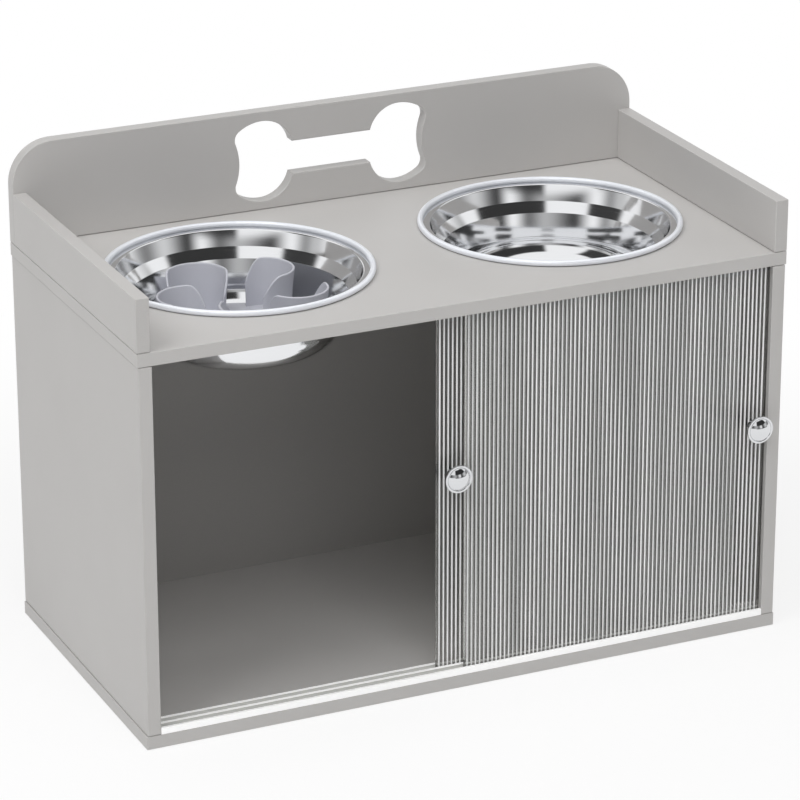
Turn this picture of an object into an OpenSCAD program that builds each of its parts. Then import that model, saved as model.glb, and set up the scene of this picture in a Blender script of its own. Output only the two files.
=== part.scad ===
// Raised feeding station for a dog: a board cabinet with two sliding doors, and two lift-out
// bowls let into its top behind a low tray wall. Millimetres.
// X runs along the front, Y from front to rear and Z up. The origin is the centre of the
// underside of the bottom panel.

/* [Cabinet] */
// Overall width of the bottom and top panels
cabinet_w = 600; // [570:1:700]
// Depth of the boards from front edge to rear edge
cabinet_d = 305; // [290:1:360]
// Height of the side panels
side_h = 330; // [260:1:380]
// Thickness of every board
board_t = 12; // [11:0.5:15]
// How far each side panel stands in from the ends of the bottom and top panels
side_reveal = 1; // [0.5:0.5:2]
// Thickness of the hardboard back
back_t = 3; // [2.5:0.5:4]
// Distance from the rear edge of the boards to the hardboard back
back_inset = 12; // [11:0.5:16]
// Depth of the grooves that hold the hardboard back
back_groove_d = 4; // [3:0.5:5]

/* [Tray wall] */
// Height of the rear board above the top panel
splash_h = 91; // [85:1:120]
// Radius of the rear board's upper corners
splash_corner_r = 38; // [10:1:45]
// Height of the two side guards above the top panel
guard_h = 47; // [35:1:60]

/* [Bone cut-out] */
// Length of the cut-out
bone_l = 185; // [180:1:190]
// Height of the cut-out across its lobes
bone_h = 74; // [70:1:78]
// Height of the cut-out's shaft
bone_shaft_h = 30; // [20:1:34]
// Length of the straight shaft
bone_shaft_l = 76; // [70:1:82]
// Radius of each lobe's flank, which rises from the shaft
bone_flank_r = 29; // [28:0.5:32]
// Radius of each lobe's brow, from its crown outwards
bone_brow_r = 38; // [36:0.5:42]
// Radius of each lobe's outer corner
bone_corner_r = 9.5; // [8:0.5:11]
// Depth of the notch between the two lobes of an end
bone_notch = 4; // [3:0.5:4.5]
// Height of the cut-out's centre above the top panel
bone_rise = 45; // [44:0.5:46]

/* [Bowls] */
// Distance from the middle of the cabinet to each bowl's axis
bowl_x = 148; // [130:1:152]
// Outer radius of the rolled rim
bowl_rim_r = 116.5; // [110:0.5:118]
// Radius of the roll at the rim
bowl_bead_r = 2; // [1.5:0.25:2.5]
// Width of the flange that lies on the top panel
bowl_flange_w = 8; // [6:0.5:10]
// Depth of the bowl below the top panel
bowl_depth = 64; // [56:1:75]
// Height of the steep band under the rim
bowl_band_h = 24; // [20:1:28]
// Width of the ledge below the band
bowl_ledge_w = 4.5; // [3:0.5:6]
// Radius of the flat floor's underside
bowl_floor_r = 66; // [60:1:68]
// Radius of the curve from wall to floor
bowl_corner_r = 22; // [16:1:24]
// Thickness of the steel sheet
bowl_sheet_t = 1; // [0.8:0.1:1.4]
// Gap between the bowl's wall and its hole in the top panel
bowl_hole_gap = 1.2; // [1:0.1:2]

/* [Slow feeder insert] */
// Number of curved walls
petal_count = 5; // [4:1:5]
// Radius of each curved wall
petal_r = 25; // [18:0.5:26]
// Distance from the bowl's axis to the centre of each curved wall
petal_out = 51; // [48:0.5:51.5]
// Thickness of the curved walls
petal_t = 3.6; // [3:0.2:4.4]
// Height of the curved walls above the insert's floor
petal_h = 38; // [25:1:42]
// Radius of the insert's floor
insert_floor_r = 74; // [70:0.5:75]
// Thickness of the insert's floor
insert_floor_t = 3; // [2:0.2:4]
// Radius of the suction cup
suction_r = 17; // [14:0.5:20]
// Height of the suction cup below the insert's floor
suction_h = 4; // [3.6:0.2:5]

/* [Sliding doors] */
// Width by which the two doors overlap when the cabinet is shut
door_overlap = 7; // [4:1:12]
// Thickness of the flat part of the door sheet
door_sheet_t = 4; // [3:0.5:4.5]
// Distance from one flute to the next
flute_pitch = 4; // [3.5:0.25:6]
// Height of a flute above the flat part of the sheet
flute_h = 1; // [0.6:0.1:1.2]
// Running gap between a door and each side of its channel
door_gap = 0.6; // [0.4:0.1:0.9]
// Running gap under a door, and at a side panel
door_end_gap = 0.4; // [0.3:0.1:0.8]
// Depth of the grooves in the top panel that hold the doors' upper edges
door_groove_d = 8.5; // [8:0.25:8.5]
// Length of door that stands in the upper groove
door_grip = 2.5; // [2:0.25:3]
// Distance from the middle of the cabinet to the open rear door's left edge
door_open = 26; // [25:0.5:40]

/* [Lower track] */
// Height of the track
track_h = 5.8; // [5:0.2:6.4]
// Thickness of the track's floor
track_floor = 1.4; // [1:0.1:1.8]
// Thickness of each of the three lips
track_lip = 3; // [2.4:0.1:3.4]

/* [Door knobs] */
// Diameter of the knob's head
knob_d = 25; // [20:0.5:26]
// Diameter of the dome on the head
knob_dome_d = 20.6; // [14:0.2:21]
// Height of the dome
knob_dome_h = 4.6; // [3:0.2:6]
// Thickness of the head's rim
knob_rim_t = 1.8; // [1.4:0.1:2.4]
// Distance from the door to the back of the head
knob_neck_l = 13; // [12.5:0.25:16]
// Diameter of the neck
knob_neck_d = 8; // [7.6:0.1:8.4]
// Diameter of the foot that stands on the door
knob_foot_d = 10; // [9:0.25:10.5]
// Distance from a door's outer edge to the knob's axis
knob_edge = 13; // [12:0.5:13.5]
// Height of the knobs' axes
knob_z = 196; // [120:1:220]

/* [Fasteners] */
// Clearance round pins, dowels and screws in their holes
pin_gap = 0.1; // [0.08:0.01:0.15]
// Diameter of the wooden dowels
dowel_d = 6; // [5:0.5:6.5]
// Length of the wooden dowels
dowel_l = 24; // [20:1:30]
// Diameter of the cam locks
cam_d = 12; // [11:0.5:13]
// Distance from the top edge of a side panel to a cam's axis
cam_drop = 24; // [20:1:30]
// Diameter of the board screws
screw_d = 4; // [3:0.25:4.25]
// Length of the screws that hold the bottom panel
base_screw_l = 36; // [28:1:45]
// Length of the screws that hold the tray wall
tray_screw_l = 30; // [24:1:34]
// Diameter of the knob screws
knob_screw_d = 4; // [3:0.5:4.5]

/* [Hidden] */
$fn = 64;

// Overrun of a cutting shape past the face it cuts
cut = 1;

// Boards
half_w = cabinet_w / 2;
front_y = -cabinet_d / 2;
rear_y = cabinet_d / 2;
side_out_x = half_w - side_reveal;
side_in_x = side_out_x - board_t;
side_mid_x = side_out_x - board_t / 2;
side_top_z = board_t + side_h;
tray_z = side_top_z + board_t;
splash_front_y = rear_y - board_t;
back_slack = 0.15;
back_rear_y = rear_y - back_inset;

// Bowls: the profile's heights are measured from the tray surface
bowl_flange_r = bowl_rim_r - 2 * bowl_bead_r;
bowl_wall_r = bowl_flange_r - bowl_flange_w + bowl_flange_w / 4;
bowl_throat_r = 0.8;
bowl_band_taper = 2.5;
bowl_hole_r = bowl_wall_r + bowl_hole_gap;
bowl_arc_steps = 8;
bowl_floor_z = tray_z - bowl_depth + bowl_sheet_t;
seat_gap = 0.3;

// Doors and their channels
flute_steps = 5;
door_t = door_sheet_t + flute_h;
channel_w = door_t + 2 * door_gap;
track_d = 2 * channel_w + 3 * track_lip;
door_w = side_in_x - door_end_gap + door_overlap / 2;
door_z = board_t + track_floor + door_end_gap;
door_h = side_top_z + door_grip - door_z;
front_channel_y = front_y + track_lip;
rear_channel_y = front_channel_y + channel_w + track_lip;
front_door_y = front_channel_y + door_gap;
rear_door_y = rear_channel_y + door_gap;
front_door_x = side_in_x - door_end_gap - door_w;
rear_door_x = -door_open;

// Fasteners
cam_y = 95;
dowel_y = 122;
base_screw_y = 70;
guard_screw_y = 50;
splash_screw_end = 60;
splash_screw_pitch = (cabinet_w - 2 * splash_screw_end) / 4;
cam_neck_d = 3.4;
cam_head_d = 5.2;
cam_collar_d = 5.6;
cam_head_l = 3;
cam_h = board_t / 2 + cam_head_d / 2 + 0.7;
cam_floor_gap = 0.2;
pilot_d = 8;
screw_head_d = 1.75 * screw_d;
screw_head_h = (screw_head_d - screw_d) / 2;
screw_flush = 0.2;
knob_bore_l = 9;
knob_screw_head_d = 2 * knob_screw_d;
knob_screw_head_h = 2;

// Points on an arc about c, from angle a0 to angle a1
function arc(c, r, a0, a1, steps) =
    [for (i = [0:steps]) let (a = a0 + (a1 - a0) * i / steps) c + r * [cos(a), sin(a)]];

function mirror_x(points) = [for (i = [len(points) - 1:-1:0]) [-points[i].x, points[i].y]];
function mirror_y(points) = [for (i = [len(points) - 1:-1:0]) [points[i].x, -points[i].y]];

// ---------- boards ----------

module board(x0, x1, y0, y1, z0, z1)
    translate([x0, y0, z0]) cube([x1 - x0, y1 - y0, z1 - z0]);

module at_corners(x, y)
    for (sx = [-1, 1], sy = [-1, 1]) translate([sx * x, sy * y, 0]) children();

module at_base_screws()
    for (sx = [-1, 1], sy = [-1, 0, 1]) translate([sx * side_mid_x, sy * base_screw_y, 0]) children();

module at_guard_screws() at_corners(half_w - board_t / 2, guard_screw_y) children();

module at_splash_screws()
    for (i = [-2:2])
        translate([i * splash_screw_pitch, rear_y - board_t / 2, 0]) children();

module blind_hole(d, z0, z1) translate([0, 0, z0]) cylinder(d = d, h = z1 - z0);

// Groove for the hardboard back, cut from the faces of the boards round it
module back_groove()
    board(-side_in_x - back_groove_d, side_in_x + back_groove_d,
          back_rear_y - back_t - back_slack, back_rear_y + back_slack,
          board_t - back_groove_d, side_top_z + back_groove_d);

// Countersunk board screw, head down, its head's face at z = 0
module board_screw(length) {
    tip_l = 1.5 * screw_d;
    cylinder(d1 = screw_head_d, d2 = screw_d, h = screw_head_h);
    translate([0, 0, screw_head_h]) cylinder(d = screw_d, h = length - screw_head_h - tip_l);
    translate([0, 0, length - tip_l]) cylinder(d1 = screw_d, d2 = 0.4, h = tip_l);
}

// Countersunk through hole in a board whose lower face is at z = 0
module screw_hole() {
    hole_d = screw_d + 2 * pin_gap;
    rim_d = screw_head_d + 2 * pin_gap + 2 * screw_flush;
    translate([0, 0, -cut]) cylinder(d = hole_d, h = board_t + 2 * cut);
    cylinder(d1 = rim_d, d2 = hole_d, h = (rim_d - hole_d) / 2);
    translate([0, 0, -cut]) cylinder(d = rim_d, h = cut);
}

module bottom_panel()
    color("#c3c1bf") difference() {
        board(-half_w, half_w, front_y, rear_y, 0, board_t);
        back_groove();
        at_base_screws() screw_hole();
        at_corners(side_mid_x, dowel_y) blind_hole(dowel_d + 2 * pin_gap, board_t - pilot_d, board_t + cut);
    }

module side_panel(side)
    color("#bbbab8") difference() {
        board(side > 0 ? side_in_x : -side_out_x, side > 0 ? side_out_x : -side_in_x,
              front_y, rear_y, board_t, side_top_z);
        back_groove();
        for (sy = [-1, 1]) {
            translate([side * side_mid_x, sy * cam_y, 0])
                blind_hole(cam_head_d + 1, side_top_z - cam_drop, side_top_z + cut);
            translate([side * side_in_x, sy * cam_y, side_top_z - cam_drop])
                rotate([0, side * 90, 0]) translate([0, 0, -cut])
                    cylinder(d = cam_d + 2 * pin_gap, h = cam_h + cam_floor_gap + cut);
            translate([side * side_mid_x, sy * dowel_y, 0]) {
                blind_hole(dowel_d + 2 * pin_gap, side_top_z + pilot_d - dowel_l, side_top_z + cut);
                blind_hole(dowel_d + 2 * pin_gap, board_t - cut, board_t - pilot_d + dowel_l);
            }
        }
        for (sy = [-1, 0, 1])
            translate([side * side_mid_x, sy * base_screw_y, 0])
                blind_hole(screw_d + 2 * pin_gap, board_t - cut, base_screw_l + cut);
    }

module top_panel()
    color("#c3c1bf") difference() {
        board(-half_w, half_w, front_y, rear_y, side_top_z, tray_z);
        for (side = [-1, 1])
            translate([side * bowl_x, 0, side_top_z - cut])
                cylinder(r = bowl_hole_r, h = board_t + 2 * cut, $fn = 128);
        for (y = [front_channel_y, rear_channel_y])
            board(-side_in_x, side_in_x, y, y + channel_w, side_top_z - cut, side_top_z + door_groove_d);
        back_groove();
        at_corners(side_mid_x, cam_y)
            blind_hole(cam_collar_d + 2 * pin_gap, side_top_z - cut, side_top_z + pilot_d);
        at_corners(side_mid_x, dowel_y)
            blind_hole(dowel_d + 2 * pin_gap, side_top_z - cut, side_top_z + pilot_d);
        translate([0, 0, side_top_z]) {
            at_guard_screws() screw_hole();
            at_splash_screws() screw_hole();
        }
    }

module back_panel() {
    x = side_in_x + back_groove_d - back_slack;
    color("#b5b4b2")
        board(-x, x, back_rear_y - back_t, back_rear_y,
              board_t - back_groove_d, side_top_z + back_groove_d - 2 * back_slack);
}

// ---------- tray wall ----------

// One quarter of the bone's outline, in arcs from its notch round the lobe to the shaft
function bone_quarter() =
    let (
        shaft_end = [bone_shaft_l / 2, bone_shaft_h / 2],
        crown_z = bone_h / 2,
        flank_z = crown_z - bone_flank_r,
        flank_end = asin((shaft_end.y - flank_z) / bone_flank_r),
        crown_x = shaft_end.x + bone_flank_r * cos(flank_end),
        brow_z = crown_z - bone_brow_r,
        corner_x = bone_l / 2 - bone_corner_r,
        brow_end = acos((corner_x - crown_x) / (bone_brow_r - bone_corner_r)),
        corner = [corner_x, brow_z + (bone_brow_r - bone_corner_r) * sin(brow_end)],
        base = bone_l / 2 - bone_notch - corner_x,
        notch_r = (bone_corner_r * bone_corner_r - base * base - corner.y * corner.y)
            / (2 * (base - bone_corner_r)),
        notch = [corner_x + base + notch_r, 0],
        meet = atan2(corner.y, notch.x - corner_x)
    )
    concat(
        arc(notch, notch_r, 180, 180 - meet, 6),
        arc(corner, bone_corner_r, -meet, brow_end, 10),
        arc([crown_x, brow_z], bone_brow_r, brow_end, 90, 8),
        arc([crown_x, flank_z], bone_flank_r, 90, 180 - flank_end, 12)
    );

module bone_outline() {
    upper_right = bone_quarter();
    upper = concat(upper_right, mirror_x(upper_right));
    polygon(concat(upper, mirror_y(upper)));
}

module splash_outline() {
    r = splash_corner_r;
    difference() {
        union() {
            translate([-half_w, 0]) square([cabinet_w, splash_h - r]);
            translate([-half_w + r, 0]) square([cabinet_w - 2 * r, splash_h]);
            for (side = [-1, 1]) translate([side * (half_w - r), splash_h - r]) circle(r = r);
        }
        translate([0, bone_rise]) bone_outline();
    }
}

module tray_pilot(length) blind_hole(screw_d + 2 * pin_gap, tray_z - cut, side_top_z + length + cut);

module backsplash()
    color("#b3b2b0") difference() {
        translate([0, rear_y, tray_z]) rotate([90, 0, 0]) linear_extrude(board_t) splash_outline();
        at_splash_screws() tray_pilot(tray_screw_l);
    }

module guard(side)
    color("#bbbab8") difference() {
        board(side > 0 ? half_w - board_t : -half_w, side > 0 ? half_w : board_t - half_w,
              front_y, splash_front_y, tray_z, tray_z + guard_h);
        at_guard_screws() tray_pilot(tray_screw_l);
    }

// ---------- board fasteners ----------

// Turned lock that draws the cam bolt's head down: a disc with a hole in its rim for the bolt,
// which enters along +X
module cam_lock() {
    slot_w = 1.4;
    slot_l = 7;
    slot_d = 2;
    difference() {
        cylinder(d = cam_d, h = cam_h);
        translate([0, 0, board_t / 2]) rotate([0, 90, 0])
            translate([0, 0, -cam_head_l]) cylinder(d = cam_head_d + 0.4, h = cam_d);
        for (a = [0, 90])
            rotate(a) translate([-slot_l / 2, -slot_w / 2, -cut]) cube([slot_l, slot_w, slot_d + cut]);
    }
}

module cam_locks()
    color("#9fa2a5")
        for (side = [-1, 1], sy = [-1, 1])
            translate([side * side_in_x, sy * cam_y, side_top_z - cam_drop])
                rotate([0, side * 90, 0]) rotate([0, 0, 90 + side * 90]) cam_lock();

module cam_bolts() {
    end_z = side_top_z - cam_drop - cam_head_l / 2;
    neck_z = end_z + cam_head_l;
    collar_z = neck_z + 5;
    color("#b9bcbe")
        at_corners(side_mid_x, cam_y) {
            translate([0, 0, end_z]) cylinder(d = cam_head_d, h = cam_head_l);
            translate([0, 0, neck_z]) cylinder(d = cam_neck_d, h = collar_z - neck_z);
            translate([0, 0, collar_z]) cylinder(d = cam_collar_d, h = side_top_z + pilot_d - collar_z);
        }
}

module dowel() {
    nose = 1;
    cylinder(d1 = dowel_d - 2 * nose, d2 = dowel_d, h = nose);
    translate([0, 0, nose]) cylinder(d = dowel_d, h = dowel_l - 2 * nose);
    translate([0, 0, dowel_l - nose]) cylinder(d1 = dowel_d, d2 = dowel_d - 2 * nose, h = nose);
}

module panel_dowels()
    color("#d8bd8e")
        for (z = [board_t - pilot_d, side_top_z + pilot_d - dowel_l])
            translate([0, 0, z]) at_corners(side_mid_x, dowel_y) dowel();

module base_screws()
    color("#a7a9ab") translate([0, 0, screw_flush]) at_base_screws() board_screw(base_screw_l);

module guard_screws()
    color("#a7a9ab")
        translate([0, 0, side_top_z + screw_flush]) at_guard_screws() board_screw(tray_screw_l);

module backsplash_screws()
    color("#a7a9ab")
        translate([0, 0, side_top_z + screw_flush]) at_splash_screws() board_screw(tray_screw_l);

// ---------- doors ----------

// White plastic extrusion with two channels, glued to the bottom panel flush with its front edge
module lower_track()
    color("#f4f4f2")
        translate([-side_in_x, front_y, board_t]) difference() {
            cube([2 * side_in_x, track_d, track_h]);
            for (i = [0, 1])
                translate([-cut, track_lip + i * (channel_w + track_lip), track_floor])
                    cube([2 * side_in_x + 2 * cut, channel_w, track_h]);
        }

// Plan outline of a door: flat behind, a row of rounded flutes in front
module door_outline() {
    flutes = floor(door_w / flute_pitch);
    margin = (door_w - flutes * flute_pitch) / 2;
    flute_r = (flute_pitch * flute_pitch / 4 + flute_h * flute_h) / (2 * flute_h);
    half_a = asin(flute_pitch / 2 / flute_r);
    crests = [
        for (i = [0:flutes - 1])
            each arc([margin + (i + 0.5) * flute_pitch, flute_r], flute_r,
                     -90 - half_a, -90 + half_a, flute_steps)
    ];
    distinct = [
        for (i = [0:len(crests) - 1])
            if (i == 0 || norm(crests[i] - crests[i - 1]) > 0.01) crests[i]
    ];
    polygon(concat([[0, flute_h]], distinct, [[door_w, flute_h], [door_w, door_t], [0, door_t]]));
}

// Door with its lower left front corner at the origin; knob_x is measured from its left edge
module door(knob_x)
    color("#d9dfe0", 0.5) difference() {
        linear_extrude(door_h) door_outline();
        translate([knob_x, -cut, knob_z - door_z]) rotate([-90, 0, 0])
            cylinder(d = knob_screw_d + 4 * pin_gap, h = door_t + 2 * cut);
    }

module rear_door() translate([rear_door_x, rear_door_y, door_z]) door(knob_edge);
module front_door() translate([front_door_x, front_door_y, door_z]) door(door_w - knob_edge);

rear_knob_at = [rear_door_x + knob_edge, rear_door_y, knob_z];
front_knob_at = [front_door_x + door_w - knob_edge, front_door_y, knob_z];

// Turned knob that points along -Y from the door's front face
module knob() {
    r = knob_d / 2;
    dome_foot_r = knob_dome_d / 2;
    foot_t = 1.2;
    flare = (knob_d - knob_neck_d) / 5;
    dome_r = (dome_foot_r * dome_foot_r + knob_dome_h * knob_dome_h) / (2 * knob_dome_h);
    rim_z = knob_neck_l + knob_rim_t;
    dome_c = [0, rim_z + knob_dome_h - dome_r];
    dome = [
        for (p = arc(dome_c, dome_r, asin((dome_r - knob_dome_h) / dome_r), 90, 10))
            [max(p.x, 0), p.y]
    ];
    color("#c9cccd") rotate([90, 0, 0]) difference() {
        rotate_extrude()
            polygon(concat(
                [[0, 0], [knob_foot_d / 2, 0], [knob_foot_d / 2, foot_t]],
                arc([knob_neck_d / 2 + flare, knob_neck_l - flare - 0.6], flare, 180, 90, 6),
                [[r - 0.4, knob_neck_l], [r, knob_neck_l + 0.4], [r, rim_z - 0.5], [r - 0.5, rim_z]],
                dome
            ));
        translate([0, 0, -cut]) cylinder(d = knob_screw_d, h = knob_bore_l + cut);
    }
}

// Flat-headed screw that comes through the door from behind into the knob
module knob_screw() {
    shank_l = door_t + knob_bore_l - 1;
    color("#a7a9ab") translate([0, door_t, 0]) rotate([90, 0, 0]) {
        cylinder(d = knob_screw_d - 2 * pin_gap, h = shank_l);
        translate([0, 0, -knob_screw_head_h]) cylinder(d = knob_screw_head_d, h = knob_screw_head_h);
    }
}

module rear_door_knob() translate(rear_knob_at) knob();
module rear_door_screw() translate(rear_knob_at) knob_screw();
module front_door_knob() translate(front_knob_at) knob();
module front_door_screw() translate(front_knob_at) knob_screw();

// ---------- bowls ----------

// Half section of the pressed sheet, from the rim's roll down to the floor, heights from the tray
module bowl_outline() {
    s = bowl_sheet_t;
    throat = [bowl_wall_r + bowl_throat_r, -bowl_throat_r];
    band_foot_r = bowl_wall_r - bowl_band_taper;
    ledge_r = band_foot_r - bowl_ledge_w;
    corner = [bowl_floor_r, -bowl_depth + bowl_corner_r];
    bead = [bowl_rim_r - bowl_bead_r, bowl_bead_r + seat_gap];
    bead_a = 180 + asin((bead.y - s) / bowl_bead_r);
    under = concat(
        [[bowl_flange_r + bowl_bead_r / 3, 0]],
        arc(throat, bowl_throat_r, 90, 180, bowl_arc_steps),
        [[band_foot_r, -bowl_band_h], [ledge_r, -bowl_band_h - 2]],
        arc(corner, bowl_corner_r, 0, -90, bowl_arc_steps),
        [[0, -bowl_depth]]
    );
    over = concat(
        [[0, -bowl_depth + s]],
        arc(corner, bowl_corner_r - s, -90, 0, bowl_arc_steps),
        [[ledge_r - s, s - bowl_band_h - 2], [band_foot_r - s, s - bowl_band_h]],
        arc(throat, bowl_throat_r + s, 180, 90, bowl_arc_steps)
    );
    polygon(concat(under, over, arc(bead, bowl_bead_r, bead_a, -90, 2 * bowl_arc_steps)));
}

module bowl(side)
    color("#c6c9cb")
        translate([side * bowl_x, 0, tray_z]) rotate_extrude($fn = 128) bowl_outline();

// ---------- slow feeder insert ----------

insert_z = bowl_floor_z + seat_gap + suction_h;
suction_stem_r = 3;
first_petal_a = 30;

// Curved wall that curls round towards the middle, open to its neighbour, on the insert's floor
module petal() {
    from_a = -120;
    sweep = 210;
    root = 1;
    translate([0, 0, -root]) rotate(from_a) rotate_extrude(angle = sweep)
        translate([petal_r - petal_t / 2, 0]) square([petal_t, petal_h + root]);
}

module slow_feeder_insert()
    color("#a9acb1") translate([-bowl_x, 0, insert_z]) {
        difference() {
            cylinder(r = insert_floor_r, h = insert_floor_t, $fn = 128);
            translate([0, 0, -cut]) cylinder(r = suction_stem_r + 2 * pin_gap, h = insert_floor_t + 2 * cut);
        }
        for (i = [0:petal_count - 1])
            rotate(first_petal_a + i * 360 / petal_count)
                translate([petal_out, 0, insert_floor_t]) petal();
    }

// Clear rubber cup under the insert, held by a button through the insert's floor
module suction_cup() {
    wall = 1.4;
    button_r = suction_stem_r + 2;
    color("#dfe3e4", 0.6) translate([-bowl_x, 0, insert_z])
        rotate_extrude()
            polygon(concat(
                [[0, -wall], [suction_r * 0.55, -wall - 0.4], [suction_r - 1, -suction_h]],
                [[suction_r, -suction_h], [suction_r, 0.6 - suction_h], [suction_r * 0.6, 0]],
                [[suction_stem_r, 0], [suction_stem_r, insert_floor_t]],
                [[button_r, insert_floor_t], [button_r - 1, insert_floor_t + 2], [0, insert_floor_t + 2.4]]
            ));
}

bottom_panel();
side_panel(-1);  // left_side_panel
side_panel(1);  // right_side_panel
top_panel();
back_panel();
backsplash();
guard(-1);  // left_guard
guard(1);  // right_guard
lower_track();
cam_locks();
cam_bolts();
panel_dowels();
base_screws();
guard_screws();
backsplash_screws();
rear_door();
rear_door_knob();
rear_door_screw();
front_door();
front_door_knob();
front_door_screw();
bowl(-1);  // left_bowl
bowl(1);  // right_bowl
slow_feeder_insert();
suction_cup();
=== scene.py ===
from math import acos, asin, atan2, cos, degrees, pi, radians, sin, tan

import bmesh
import bpy
from mathutils import Matrix, Vector


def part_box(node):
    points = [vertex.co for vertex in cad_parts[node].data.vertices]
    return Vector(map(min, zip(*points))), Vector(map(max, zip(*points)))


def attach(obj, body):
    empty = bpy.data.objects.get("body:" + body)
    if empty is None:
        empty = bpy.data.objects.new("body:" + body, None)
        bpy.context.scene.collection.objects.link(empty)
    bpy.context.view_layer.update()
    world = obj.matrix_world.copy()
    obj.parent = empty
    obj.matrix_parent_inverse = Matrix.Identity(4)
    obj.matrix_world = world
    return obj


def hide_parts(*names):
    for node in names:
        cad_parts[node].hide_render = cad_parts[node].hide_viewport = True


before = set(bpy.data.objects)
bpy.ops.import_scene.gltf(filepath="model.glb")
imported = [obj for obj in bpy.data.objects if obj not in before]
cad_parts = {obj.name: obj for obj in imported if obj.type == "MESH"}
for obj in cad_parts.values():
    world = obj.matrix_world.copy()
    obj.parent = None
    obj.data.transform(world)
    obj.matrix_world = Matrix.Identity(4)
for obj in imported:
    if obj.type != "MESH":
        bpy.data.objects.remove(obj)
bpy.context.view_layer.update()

mm = 0.001

# ------------------------------------------------------------------ cabinet boards
# Bottom, sides, top and tray guards: 12 mm fibreboard with a light grey melamine film on its faces
# and a matching band ironed on its sawn edges. Dowels, cam locks and screws from below join them.
arris = 0.7 * mm


def new_piece(name, mesh, *materials):
    """Puts a mesh into the scene under its own name, with its materials."""
    piece = bpy.data.objects.new(name, mesh)
    bpy.context.scene.collection.objects.link(piece)
    mesh.materials.clear()
    for material in materials:
        mesh.materials.append(material)
    return piece


def arc(centre, radius, start, end, steps):
    """Points of an arc in a plane, its angles in degrees."""
    turns = [radians(start + (end - start) * i / steps) for i in range(steps + 1)]
    return [(centre[0] + radius * cos(turn), centre[1] + radius * sin(turn)) for turn in turns]


def rectangle(x0, y0, x1, y1, radius, upper_radius=None):
    """Outline of a rectangle with rounded corners, the upper two to a radius of their own."""
    top, steps = upper_radius or radius, 24 if upper_radius else 3
    return (arc((x0 + radius, y0 + radius), radius, 180, 270, 3)
            + arc((x1 - radius, y0 + radius), radius, 270, 360, 3)
            + arc((x1 - top, y1 - top), top, 0, 90, steps)
            + arc((x0 + top, y1 - top), top, 90, 180, steps))


def sawn(name, loops, thickness, edge):
    """A flat blank with eased edges: the first loop is its outline and the others are cut-outs."""
    curve = bpy.data.curves.new(name, "CURVE")
    curve.dimensions, curve.fill_mode = "2D", "BOTH"
    curve.extrude, curve.offset = thickness / 2 - edge, -edge
    curve.bevel_depth, curve.bevel_resolution = edge, 2
    for loop in loops:
        spline = curve.splines.new("POLY")
        spline.points.add(len(loop) - 1)
        spline.use_cyclic_u = True
        for point, (x, y) in zip(spline.points, loop):
            point.co = (x, y, 0, 1)
    blank = bpy.data.objects.new(name, curve)
    bpy.context.scene.collection.objects.link(blank)
    mesh = bpy.data.meshes.new_from_object(blank.evaluated_get(bpy.context.evaluated_depsgraph_get()))
    bpy.data.objects.remove(blank)
    mesh.name = name
    return mesh


def finished(mesh, sharp_angle=35):
    """Joins the seams of a mesh, turns its faces outwards and shades its curves smooth."""
    work = bmesh.new()
    work.from_mesh(mesh)
    bmesh.ops.remove_doubles(work, verts=work.verts, dist=1e-6)
    bmesh.ops.recalc_face_normals(work, faces=work.faces)
    work.to_mesh(mesh)
    work.free()
    mesh.shade_smooth()
    mesh.set_sharp_from_angle(angle=radians(sharp_angle))
    return mesh


def keep_faces_flat(piece):
    """Lets large flat faces keep their own normals beside eased edges."""
    weights = piece.modifiers.new("flat faces", "WEIGHTED_NORMAL")
    weights.keep_sharp = True
    weights.weight = 100


def block(low, high):
    """A plain box, to cut with or to lay down as a floor."""
    work = bmesh.new()
    bmesh.ops.create_cube(work, size=1)
    size, middle = Vector(high) - Vector(low), (Vector(high) + Vector(low)) / 2
    into_place = Matrix.Translation(middle) @ Matrix.Diagonal((*size, 1))
    bmesh.ops.transform(work, matrix=into_place, verts=work.verts)
    mesh = bpy.data.meshes.new("block")
    work.to_mesh(mesh)
    work.free()
    return mesh


def drill(centre, radius, length, axis="Z", end_radius=None):
    """A round or conical cutter along an axis, to drill or countersink with."""
    work = bmesh.new()
    turn = {"X": Matrix.Rotation(pi / 2, 4, "Y"),
            "Y": Matrix.Rotation(-pi / 2, 4, "X"),
            "Z": Matrix.Identity(4)}[axis]
    bmesh.ops.create_cone(work, cap_ends=True, segments=48, radius1=radius,
                          radius2=radius if end_radius is None else end_radius, depth=length)
    bmesh.ops.transform(work, matrix=Matrix.Translation(centre) @ turn, verts=work.verts)
    mesh = bpy.data.meshes.new("drill")
    work.to_mesh(mesh)
    work.free()
    return mesh


def cut(piece, cutters):
    """Takes the shapes of the cutters out of a piece."""
    joined = bmesh.new()
    for cutter in cutters:
        joined.from_mesh(cutter)
    tool_mesh = bpy.data.meshes.new("cutters")
    joined.to_mesh(tool_mesh)
    joined.free()
    tool = new_piece("cutters", tool_mesh)
    kept = list(piece.data.materials)
    difference = piece.modifiers.new("difference", "BOOLEAN")
    difference.operation, difference.solver, difference.object = "DIFFERENCE", "EXACT", tool
    bpy.context.view_layer.update()
    result = bpy.data.meshes.new_from_object(piece.evaluated_get(bpy.context.evaluated_depsgraph_get()))
    piece.modifiers.remove(difference)
    piece.data = result
    bpy.data.objects.remove(tool)
    result.materials.clear()
    for material in kept:
        result.materials.append(material)
    result.shade_smooth()
    result.set_sharp_from_angle(angle=radians(35))


def linear(hex_colour):
    """An sRGB hex colour as the linear values that a shader takes."""
    channels = [int(hex_colour[i:i + 2], 16) / 255 for i in (1, 3, 5)]
    return tuple(c / 12.92 if c <= 0.04045 else ((c + 0.055) / 1.055) ** 2.4 for c in channels) + (1,)


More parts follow.
